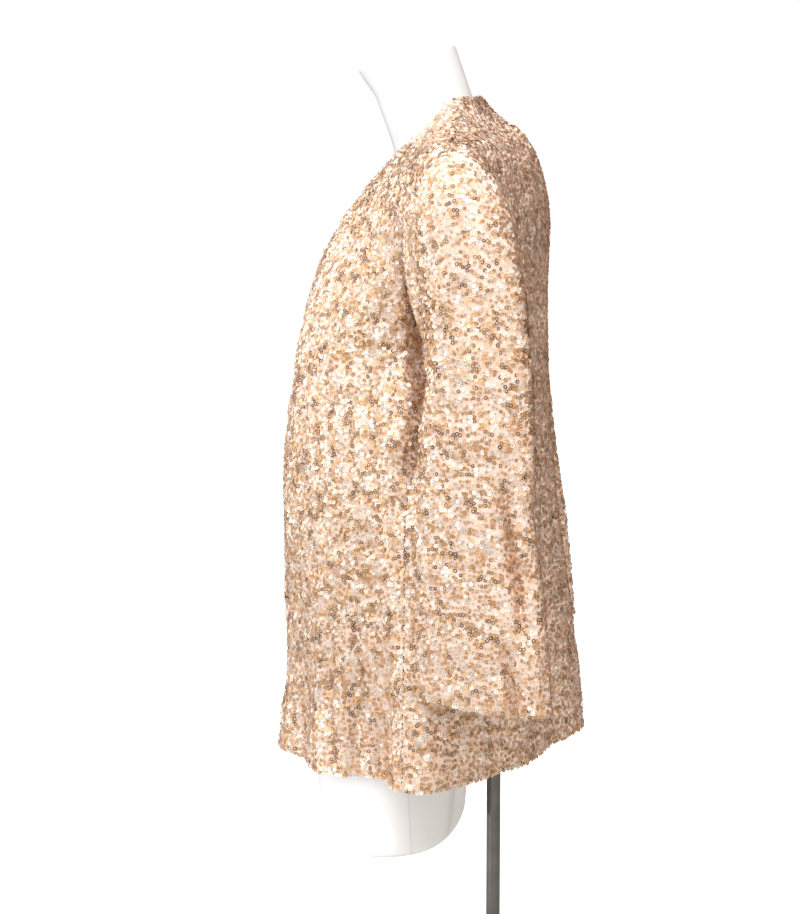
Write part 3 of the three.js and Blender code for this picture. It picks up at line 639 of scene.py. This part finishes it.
# Creases of the body and of each sleeve: the points they run through (mm, up from the hem), how far
# they stand out, or in below zero, and their half width. They die away towards both ends.
CREASES = {
    "body": [
        ([(70, 128, 240), (57, 130, 170), (61, 133, 100), (64, 134, 20)], -2.6, 8),
        ([(104, 110, 420), (112, 108, 340), (108, 110, 262)], -3.0, 12),
        ([(128, 103, 560), (136, 104, 500), (134, 104, 430)], -2.4, 9),
        ([(88, 122, 210), (96, 121, 130), (92, 124, 40)], 2.4, 10),
        ([(150, 96, 330), (156, 92, 250), (150, 94, 150)], -2.8, 9),
        ([(-66, 108, 528), (-8, 113, 515), (58, 108, 526)], -2.2, 10),
        ([(-96, 106, 352), (-44, 118, 331), (14, 122, 338)], -2.8, 11),
        ([(-20, 122, 300), (38, 122, 287), (86, 114, 296)], -2.0, 8),
        ([(-52, 130, 236), (-64, 132, 142), (-58, 134, 30)], -3.2, 9),
        ([(-108, 114, 250), (-118, 110, 160), (-112, 112, 70)], -2.4, 10),
        ([(-146, 98, 470), (-140, 100, 390), (-150, 97, 300)], -2.6, 10),
        ([(6, 128, 210), (12, 136, 120), (2, 142, 24)], 2.2, 12),
        ([(150, -48, 425), (161, -38, 359), (171, -33, 311), (177, -28, 262), (180, -24, 215)],
         -3.6, 9),
        ([(151, -55, 390), (163, -47, 305), (171, -42, 236)], 2.6, 9),
        ([(142, -66, 405), (156, -59, 328), (165, -54, 280), (169, -51, 222)], -2.6, 7),
        ([(146, -92, 190), (143, -94, 132), (141, -95, 69), (152, -91, 8)], 4.0, 7),
        ([(156, -80, 200), (152, -85, 115), (152, -86, 63), (161, -78, 15), (160, -78, -34)],
         -6.0, 8),
        ([(160, -70, 150), (158, -72, 90), (161, -70, 20)], 2.0, 7),
        ([(171, -54, 188), (168, -53, 108), (166, -54, 57), (165, -53, 11), (165, -53, -36)],
         -6.2, 8),
        ([(175, -39, 176), (170, -40, 100), (165, -39, 38), (165, -39, -30)], 3.6, 9),
        ([(184, -20, 160), (184, -19, 110), (184, -18, 63), (195, -12, 19), (197, -12, -30)],
         -4.2, 9),
        ([(90, -112, 566), (110, -104, 500), (118, -102, 436)], 2.2, 16),
        ([(116, -96, 336), (136, -82, 318), (153, -64, 323)], -1.7, 6),
        ([(126, -96, 262), (146, -82, 246), (162, -60, 252)], -1.5, 5),
        ([(122, -98, 176), (140, -92, 162), (158, -72, 170)], -1.5, 6),
        ([(72, -124, 470), (66, -134, 372), (70, -138, 296)], -1.8, 10),
        ([(-152, -48, 408), (-164, -38, 340), (-173, -32, 284), (-178, -28, 230)], -3.1, 10),
        ([(-138, -70, 392), (-152, -62, 316), (-164, -54, 240)], 2.3, 9),
        ([(-138, -98, 176), (-138, -98, 110), (-142, -96, 6)], 3.4, 8),
        ([(-150, -84, 186), (-150, -84, 140), (-156, -78, 82), (-160, -72, -36)], -5.4, 9),
        ([(-168, -50, 150), (-172, -46, 84), (-172, -44, -28)], 3.0, 9),
        ([(-180, -26, 168), (-180, -26, 100), (-190, -16, 40), (-192, -14, -34)], -4.6, 9),
        ([(-96, -110, 556), (-112, -104, 486), (-116, -104, 420)], 1.9, 15),
        ([(-118, -98, 318), (-140, -82, 302), (-156, -60, 309)], -1.6, 6),
        ([(-124, -100, 214), (-144, -88, 198), (-160, -66, 205)], -1.6, 5),
        ([(-68, -128, 452), (-72, -136, 366), (-66, -142, 282)], -1.9, 10),
    ],
    "left": [
        ([(248, 98, 318), (250, 104, 287), (252, 109, 253), (254, 114, 226), (256, 118, 194),
          (257, 120, 160)], -15.0, 6),
        ([(259, 104, 158), (260, 107, 130), (260, 111, 110), (260, 112, 40)], -13.0, 7),
        ([(253, 128, 214), (255, 129, 163), (258, 130, 125), (259, 130, 40)], 4.0, 9),
        ([(229, 44, 604), (234, 44, 577), (237, 45, 549), (238, 45, 523), (241, 44, 474)], 2.6, 9),
        ([(236, 62, 560), (240, 66, 508), (244, 70, 452)], -1.8, 7),
        ([(238, 34, 392), (247, 56, 373), (246, 84, 379)], -1.9, 7),
        ([(240, 33, 348), (250, 58, 330), (247, 90, 336)], -2.2, 6),
        ([(242, 34, 316), (252, 64, 302), (249, 92, 306)], -1.6, 5),
        ([(246, 38, 238), (257, 66, 222), (258, 90, 228)], -2.0, 7),
        ([(248, 42, 186), (259, 70, 172), (260, 92, 176)], -1.7, 6),
        ([(247, 36, 142), (260, 68, 130), (262, 90, 133)], -1.5, 5),
    ],
    "right": [
        ([(-247, 88, 330), (-251, 94, 282), (-254, 98, 226)], -3.6, 8),
        ([(-257, 96, 196), (-260, 94, 140), (-261, 96, 40)], -4.6, 8),
        ([(-252, 116, 210), (-256, 118, 150), (-258, 120, 44)], 2.6, 9),
        ([(-231, 42, 598), (-237, 44, 552), (-241, 40, 486)], 2.2, 9),
        ([(-238, 26, 402), (-248, 48, 386), (-246, 78, 394)], -2.0, 7),
        ([(-240, 24, 344), (-250, 48, 322), (-248, 82, 330)], -2.3, 7),
        ([(-242, 24, 298), (-252, 50, 286), (-250, 80, 292)], -1.6, 5),
        ([(-246, 26, 226), (-257, 54, 208), (-258, 80, 216)], -1.9, 6),
        ([(-246, 24, 152), (-260, 56, 138), (-262, 80, 143)], -1.7, 6),
    ],
}

# Where the cloth as a whole is drawn aside: the points of a line, how far and which way there, and
# the half width.
PULLS = [
    ([(196, 64, 640), (210, 84, 590), (228, 94, 521), (229, 104, 455), (235, 113, 371),
      (244, 124, 290)], (0, 16, 0), 25),
    ([(182, 0, 560), (174, 7, 480), (173, 9, 420), (182, 11, 372), (188, 12, 332), (190, 12, 258)],
     (-25, 0, 0), 22),
    ([(196, -4, 560), (206, 5, 505), (213, 14, 462), (221, 20, 425), (226, 21, 360)],
     (0, 7, 0), 22),
    ([(-181, 0, 538), (-174, 6, 470), (-175, 8, 412), (-186, 8, 352), (-190, 7, 276)],
     (14, 0, 0), 16),
    ([(-196, -4, 552), (-210, 5, 492), (-217, 12, 446), (-224, 14, 372)], (0, 5, 0), 20),
]


def dress(piece, material):
    piece.data.materials.clear()
    piece.data.materials.append(material)
    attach(piece, "root")
    return piece


def border(grid, tube):
    edges = [grid[0], grid[-1]] + ([] if tube else [grid[:, 0], grid[:, -1]])
    lines = [along(np.concatenate([e, e[:1]]) if tube else e,
                   np.linspace(0, len(e) - (0 if tube else 1), BORDER_STEPS * len(e)))
             for e in edges]
    return np.concatenate(lines)


def find_seams(grids):
    """The points, with their normals, along each panel's borders that lie on another's border."""
    borders = {node: border(grid, tube) for node, (grid, tube) in grids.items()}
    seams = {}
    for node, (grid, tube) in grids.items():
        others = np.concatenate([borders[other] for other in borders if other != node])
        near = distance_to(others, borders[node]) < SEAM_REACH
        seams[node] = borders[node][near], border(normals_of(grid, tube), tube)[near]
    return seams


def turn_together(grid, normals, others):
    """Normals that turn softly into those of the panels sewn on, how near the seam is and how
    sharply the panels meet there."""
    tree = KDTree(len(others[0]))
    for number, spot in enumerate(others[0]):
        tree.insert(spot, number)
    tree.balance()
    found = [tree.find(spot)[1:] for spot in grid.reshape(-1, 3)]
    number, gap = (np.array(values).reshape(grid.shape[:2]) for values in zip(*found))
    beyond = others[1][number]
    near = np.exp(-((gap / SEAM_SOFTNESS) ** 2))[..., None]
    soft = normals * (1 - near / 2) + beyond * near / 2
    sharp = np.linalg.norm(normals - beyond, axis=2)
    return soft / np.linalg.norm(soft, axis=2, keepdims=True), gap, sharp


def stitches(name, line, outward):
    """A row of short raised stitches along a line of points that runs up."""
    lengths = np.linalg.norm(np.diff(line, axis=0), axis=1)
    passed = np.concatenate([[0], np.cumsum(lengths)])
    at = np.interp(
        np.arange(STITCH_PITCH, passed[-1], STITCH_PITCH), passed, np.arange(len(line)),
    )
    middle = along(line, at)
    out = along(outward, at)
    out /= np.linalg.norm(out, axis=1, keepdims=True)
    way = along(line, np.minimum(at + 0.5, len(line) - 1)) - along(line, np.maximum(at - 0.5, 0))
    way -= out * (way * out).sum(1, keepdims=True)
    way /= np.linalg.norm(way, axis=1, keepdims=True)
    side = np.cross(way, out)
    shape = [(-1, 0), (-0.6, 1), (0.6, 1), (1, 0)]
    points = np.stack([
        middle + (way * lengthwise * STITCH[0] + side * s * STITCH[1]) / 2 + out * lift * STITCH[2]
        for s in (1, -1) for lengthwise, lift in shape
    ], 1)
    faces = []
    for first in range(0, 8 * len(points), 8):
        for k in range(4):
            after = (k + 1) % 4
            faces.append([first + k, first + k + 4, first + after + 4, first + after])
        faces += [[first + 0, first + 1, first + 2, first + 3],
                  [first + 7, first + 6, first + 5, first + 4]]
    return new_mesh(name, points, faces, smooth=False)


def read_grids():
    """Each panel's grid of points from its solid, and whether the panel is a tube."""
    grids = {}
    for panel in PANELS:
        middle = np.array([*panel["middle"], 0]) * MM
        points, faces = wall_side(panel["node"], middle)
        start = np.array(panel["start"]) * MM + (0, 0, HEM)
        tube = panel["on"] != "body"
        grids[panel["node"]] = walk_grid(points, faces, panel["columns"], start, tube), tube
    return grids


def hang(coarse, tube, creases, others, side_seams, armholes):
    """A panel's fine grid with its creases, its seams and its pulls, and its normals."""
    grid = finer(coarse, CLOTH_CELL, tube)
    normals, gap, sharp = turn_together(grid, normals_of(grid, tube), others)
    move = CLOTH_RIPPLE * ripple(grid, RIPPLE_SEED, CLOTH_RIPPLE_LENGTH)
    for line, depth, width in creases:
        move += depth * MM * beside_line(grid, line, width)
    move *= 1 - np.exp(-((distance_to(armholes, grid) / ARMHOLE_STILL) ** 2))
    move -= SEAM_GROOVE * np.exp(-((distance_to(side_seams, grid) / SEAM_WIDTH) ** 2))
    high = np.clip((grid[..., 2] - VALLEY_FROM) / (VALLEY_TO - VALLEY_FROM), 0, 1)
    move += VALLEY_FILL * high * sharp * np.exp(-((gap / VALLEY_WIDTH) ** 2))
    grid = grid + normals * move[..., None]
    for line, way, width in PULLS:
        grid = grid + beside_line(grid, line, width)[..., None] * np.array(way) * MM
    return grid, turn_together(grid, normals_of(grid, tube), others)[0]


def make_cloth(looks):
    grids = read_grids()
    seams = find_seams(grids)
    armholes = np.concatenate([seams[node][0] for node, (_, tube) in grids.items() if tube])
    for number, panel in enumerate(PANELS):
        node = panel["node"]
        coarse, tube = grids[node]
        others = [np.concatenate(part) for part in zip(*(seams[n] for n in seams if n != node))]
        side_seams = seams[node][0][seams[node][0][:, 2] < SIDE_SEAM_TOP]
        grid, normals = hang(coarse, tube, CREASES[panel["on"]], others, side_seams, armholes)
        shell = cloth_shell(node + "_cloth", grid, normals, tube)
        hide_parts(node)
        dress(shell, looks["ground"])
        seed = 100 + 10 * number
        sequins = sew_sequins(node + "_sequins", grid, normals, tube, seed, side_seams)
        sewn = [dress(sequins, looks["sequin"])]
        if panel.get("seam") is not None:
            low = grid[:, panel["seam"], 2] < SIDE_SEAM_TOP
            line, outward = grid[low, panel["seam"]], normals[low, panel["seam"]]
            thread = stitches(node + "_stitches", line, outward)
            sewn.append(dress(thread, looks["thread"]))


# ---- the stand ----

FORM_LINE_Y = 0.0195
FORM_LINE_SLOPE = -0.04
FORM_LINE_WIDTH = 0.7 * MM
POLE_RADIUS = 7.5 * MM
POLE_Y = 67 * MM
POLE_BOTTOM = 8.3 * MM
POLE_TOP = HEM + 0.180
COLLAR_RADIUS = 19 * MM
COLLAR_BORE = 7.85 * MM
COLLAR_TOP = 42.3 * MM
PLATE_RADIUS = 170 * MM
PLATE_THICKNESS = 8 * MM
ROUND_EDGE = 2 * MM
CREASE_ANGLE = math.radians(38)
WELD = 0.01 * MM  # points this close together are joined
SAME_HEIGHT = 0.001 * MM


def clear_selection():
    if bpy.context.mode != "OBJECT":
        bpy.ops.object.mode_set(mode="OBJECT")
    bpy.ops.object.select_all(action="DESELECT")


def take_up(piece):
    clear_selection()
    piece.select_set(True)
    bpy.context.view_layer.objects.active = piece


def select_edges(piece, wanted):
    """In edit mode, selects the edges whose two ends' heights and radii suit."""
    bpy.ops.mesh.select_all(action="DESELECT")
    shape = bmesh.from_edit_mesh(piece.data)
    for edge in shape.edges:
        edge.select = all(wanted(end.co) for end in edge.verts)
    shape.select_flush(True)
    bmesh.update_edit_mesh(piece.data)


def smooth_form():
    """The form's shell: the solid's facets joined, rounded and kept crisp at its base and bore."""
    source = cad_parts["dress_form"]
    piece = source.copy()
    piece.data = source.data.copy()
    piece.name = "form_body"
    bpy.context.scene.collection.objects.link(piece)
    take_up(piece)
    bpy.ops.object.mode_set(mode="EDIT")
    bpy.ops.mesh.select_all(action="SELECT")
    bpy.ops.mesh.remove_doubles(threshold=WELD)
    bpy.ops.mesh.tris_convert_to_quads()
    shape = bmesh.from_edit_mesh(piece.data)
    crease = shape.edges.layers.float.new("crease_edge")
    for edge in shape.edges:
        if len(edge.link_faces) == 2 and edge.calc_face_angle() > CREASE_ANGLE:
            edge[crease] = 1
    bmesh.update_edit_mesh(piece.data)
    bpy.ops.object.mode_set(mode="OBJECT")
    rounder = piece.modifiers.new("round", "SUBSURF")
    rounder.levels = rounder.render_levels = 1
    bpy.ops.object.modifier_apply(modifier="round")
    bpy.ops.object.shade_smooth_by_angle(angle=CREASE_ANGLE)
    return piece


def turned(name, radius, bottom, top, y, sides, edge, segments, bore=0):
    """A round rod, plate or, with a bore, a ring, its outer rims rounded."""
    clear_selection()
    bpy.ops.mesh.primitive_cylinder_add(
        vertices=sides, radius=radius, depth=top - bottom, location=(0, y, (bottom + top) / 2),
        end_fill_type="NOTHING" if bore else "NGON",
    )
    piece = bpy.context.active_object
    piece.name = piece.data.name = name
    bpy.ops.object.transform_apply(location=True, rotation=True, scale=True)
    bpy.ops.object.mode_set(mode="EDIT")
    if bore:
        select_edges(piece, lambda co: abs(co.z - top) < SAME_HEIGHT)
        share = bore / radius
        centre = (0, y, top)
        bpy.ops.mesh.extrude_edges_move()
        bpy.ops.transform.resize(value=(share, share, 1), center_override=centre)
        bpy.ops.mesh.extrude_edges_move(TRANSFORM_OT_translate={"value": (0, 0, bottom - top)})
        bpy.ops.mesh.extrude_edges_move()
        bpy.ops.transform.resize(value=(1 / share, 1 / share, 1), center_override=(0, y, bottom))
        bpy.ops.mesh.select_all(action="SELECT")
        bpy.ops.mesh.remove_doubles(threshold=WELD)
        bpy.ops.mesh.normals_make_consistent(inside=False)
    select_edges(piece, lambda co: (
        math.hypot(co.x, co.y - y) > radius * 0.99
        and min(abs(co.z - top), abs(co.z - bottom)) < SAME_HEIGHT
    ))
    shape = bmesh.from_edit_mesh(piece.data)
    for side in shape.edges:
        if abs(side.verts[0].co.z - side.verts[1].co.z) > SAME_HEIGHT:
            side.select = False
    shape.select_flush_mode()
    bmesh.update_edit_mesh(piece.data)
    bpy.ops.mesh.bevel(offset=edge, segments=segments, affect="EDGES")
    bpy.ops.object.mode_set(mode="OBJECT")
    bpy.ops.object.shade_smooth_by_angle(angle=CREASE_ANGLE)
    return piece


def make_stand(looks):
    chrome = looks["chrome"]
    pieces = {
        "dress_form": (smooth_form(), looks["form"], "form_shell"),
        "pole": (
            turned("pole_tube", POLE_RADIUS, POLE_BOTTOM, POLE_TOP, POLE_Y, 64, 0.8 * MM, 2),
            chrome, "dark_chrome",
        ),
        "pole_collar": (
            turned("pole_socket", COLLAR_RADIUS, POLE_BOTTOM, COLLAR_TOP, POLE_Y, 64, ROUND_EDGE, 4,
                   COLLAR_BORE),
            chrome, "dark_chrome",
        ),
        "base_plate": (
            turned("floor_plate", PLATE_RADIUS, 0, PLATE_THICKNESS, 0, 128, ROUND_EDGE, 4),
            chrome, "dark_chrome",
        ),
    }
    for node, (piece, material, slot) in pieces.items():
        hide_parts(node)
        dress(piece, material)


# ---- studio ----

ROOM_BRIGHTNESS = 0.22
ROOM_TINT = (1.0, 0.84, 0.67)
BACKDROP_BRIGHTNESS = 1.05
FLOOR_SIZE = 30
FLOOR_SEEN = (0.9, 0.9, 0.9)
FLOOR_BOUNCE = (0.60, 0.59, 0.57)
FLOOR_GLOW = 0.05
MIDDLE = (0, 0, 1.0)
# Each lamp: name, place, what it faces, size and brightness, then its spread in degrees and its
# colour where they aren't the usual ones.
LAMPS = [
    ("screen", (3.1, 0.3, 2.5), MIDDLE, (3.2, 2.6), 1.6),
    ("front", (2.1, -2.6, 2.4), MIDDLE, (3.0, 3.0), 1.75),
    ("far_front", (-0.7, -3.0, 2.0), MIDDLE, (2.6, 3.0), 1.7),
    ("fill", (2.2, 2.7, 1.6), MIDDLE, (2.4, 2.4), 1.05, 180, (1.0, 0.86, 0.70)),
    ("top", (0.2, 0.1, 3.6), MIDDLE, (5.5, 5.5), 1.8),
    ("low_strip", (0.66, -0.73, 0.30), (0, 0.067, 0.30), (0.34, 0.5), 0.9, 30),
]


def softbox(name, place, target, size, brightness, spread=180, colour=(1, 1, 1)):
    """A large soft lamp whose face is that bright, against 1 for white paper in full light."""
    data = bpy.data.lights.new(name, "AREA")
    data.shape = "RECTANGLE"
    data.size, data.size_y = size
    data.energy = brightness * math.pi * size[0] * size[1]
    data.color = colour
    data.spread = math.radians(spread)
    lamp = bpy.data.objects.new(name, data)
    bpy.context.scene.collection.objects.link(lamp)
    lamp.location = place
    lamp.rotation_euler = (Vector(target) - Vector(place)).to_track_quat("-Z", "Y").to_euler()


def set_studio():
    """Lamps, a pale floor and a room that is white to the camera and dimmer and warm as a light."""
    scene = bpy.context.scene
    scene.view_settings.view_transform = "Standard"
    world = bpy.data.worlds.new("studio")
    scene.world = world
    world.use_nodes = True
    tree = world.node_tree
    back = tree.nodes["Background"]
    back.inputs["Color"].default_value = (*ROOM_TINT, 1)
    back.inputs["Strength"].default_value = ROOM_BRIGHTNESS
    white = tree.nodes.new("ShaderNodeBackground")
    white.inputs["Color"].default_value = (1, 1, 1, 1)
    white.inputs["Strength"].default_value = BACKDROP_BRIGHTNESS
    path = tree.nodes.new("ShaderNodeLightPath")
    choose = tree.nodes.new("ShaderNodeMixShader")
    tree.links.new(path.outputs["Is Camera Ray"], choose.inputs[0])
    tree.links.new(back.outputs[0], choose.inputs[1])
    tree.links.new(white.outputs[0], choose.inputs[2])
    tree.links.new(choose.outputs[0], tree.nodes["World Output"].inputs[0])
    for lamp in LAMPS:
        softbox(*lamp)
    clear_selection()
    bpy.ops.mesh.primitive_plane_add(size=FLOOR_SIZE, location=(0, 0, 0))
    floor = bpy.context.active_object
    floor.name = "studio_floor"
    look = Look("pale floor")
    seen = look.node("ShaderNodeLightPath").outputs["Is Camera Ray"]
    look.set(
        Base_Color=look.mix(seen, FLOOR_BOUNCE, FLOOR_SEEN),
        Roughness=0.9,
        Emission_Color=(1, 1, 1),
        Emission_Strength=look.math("MULTIPLY_ADD", seen, 1.0 - FLOOR_GLOW, FLOOR_GLOW),
    )
    floor.data.materials.append(look.material)


aim_camera()
set_studio()
LOOKS = {
    "sequin": sequin_look(),
    "ground": ground_look(),
    "thread": thread_look(),
    "form": form_look(),
    "chrome": chrome_look(),
}
make_cloth(LOOKS)
make_stand(LOOKS)
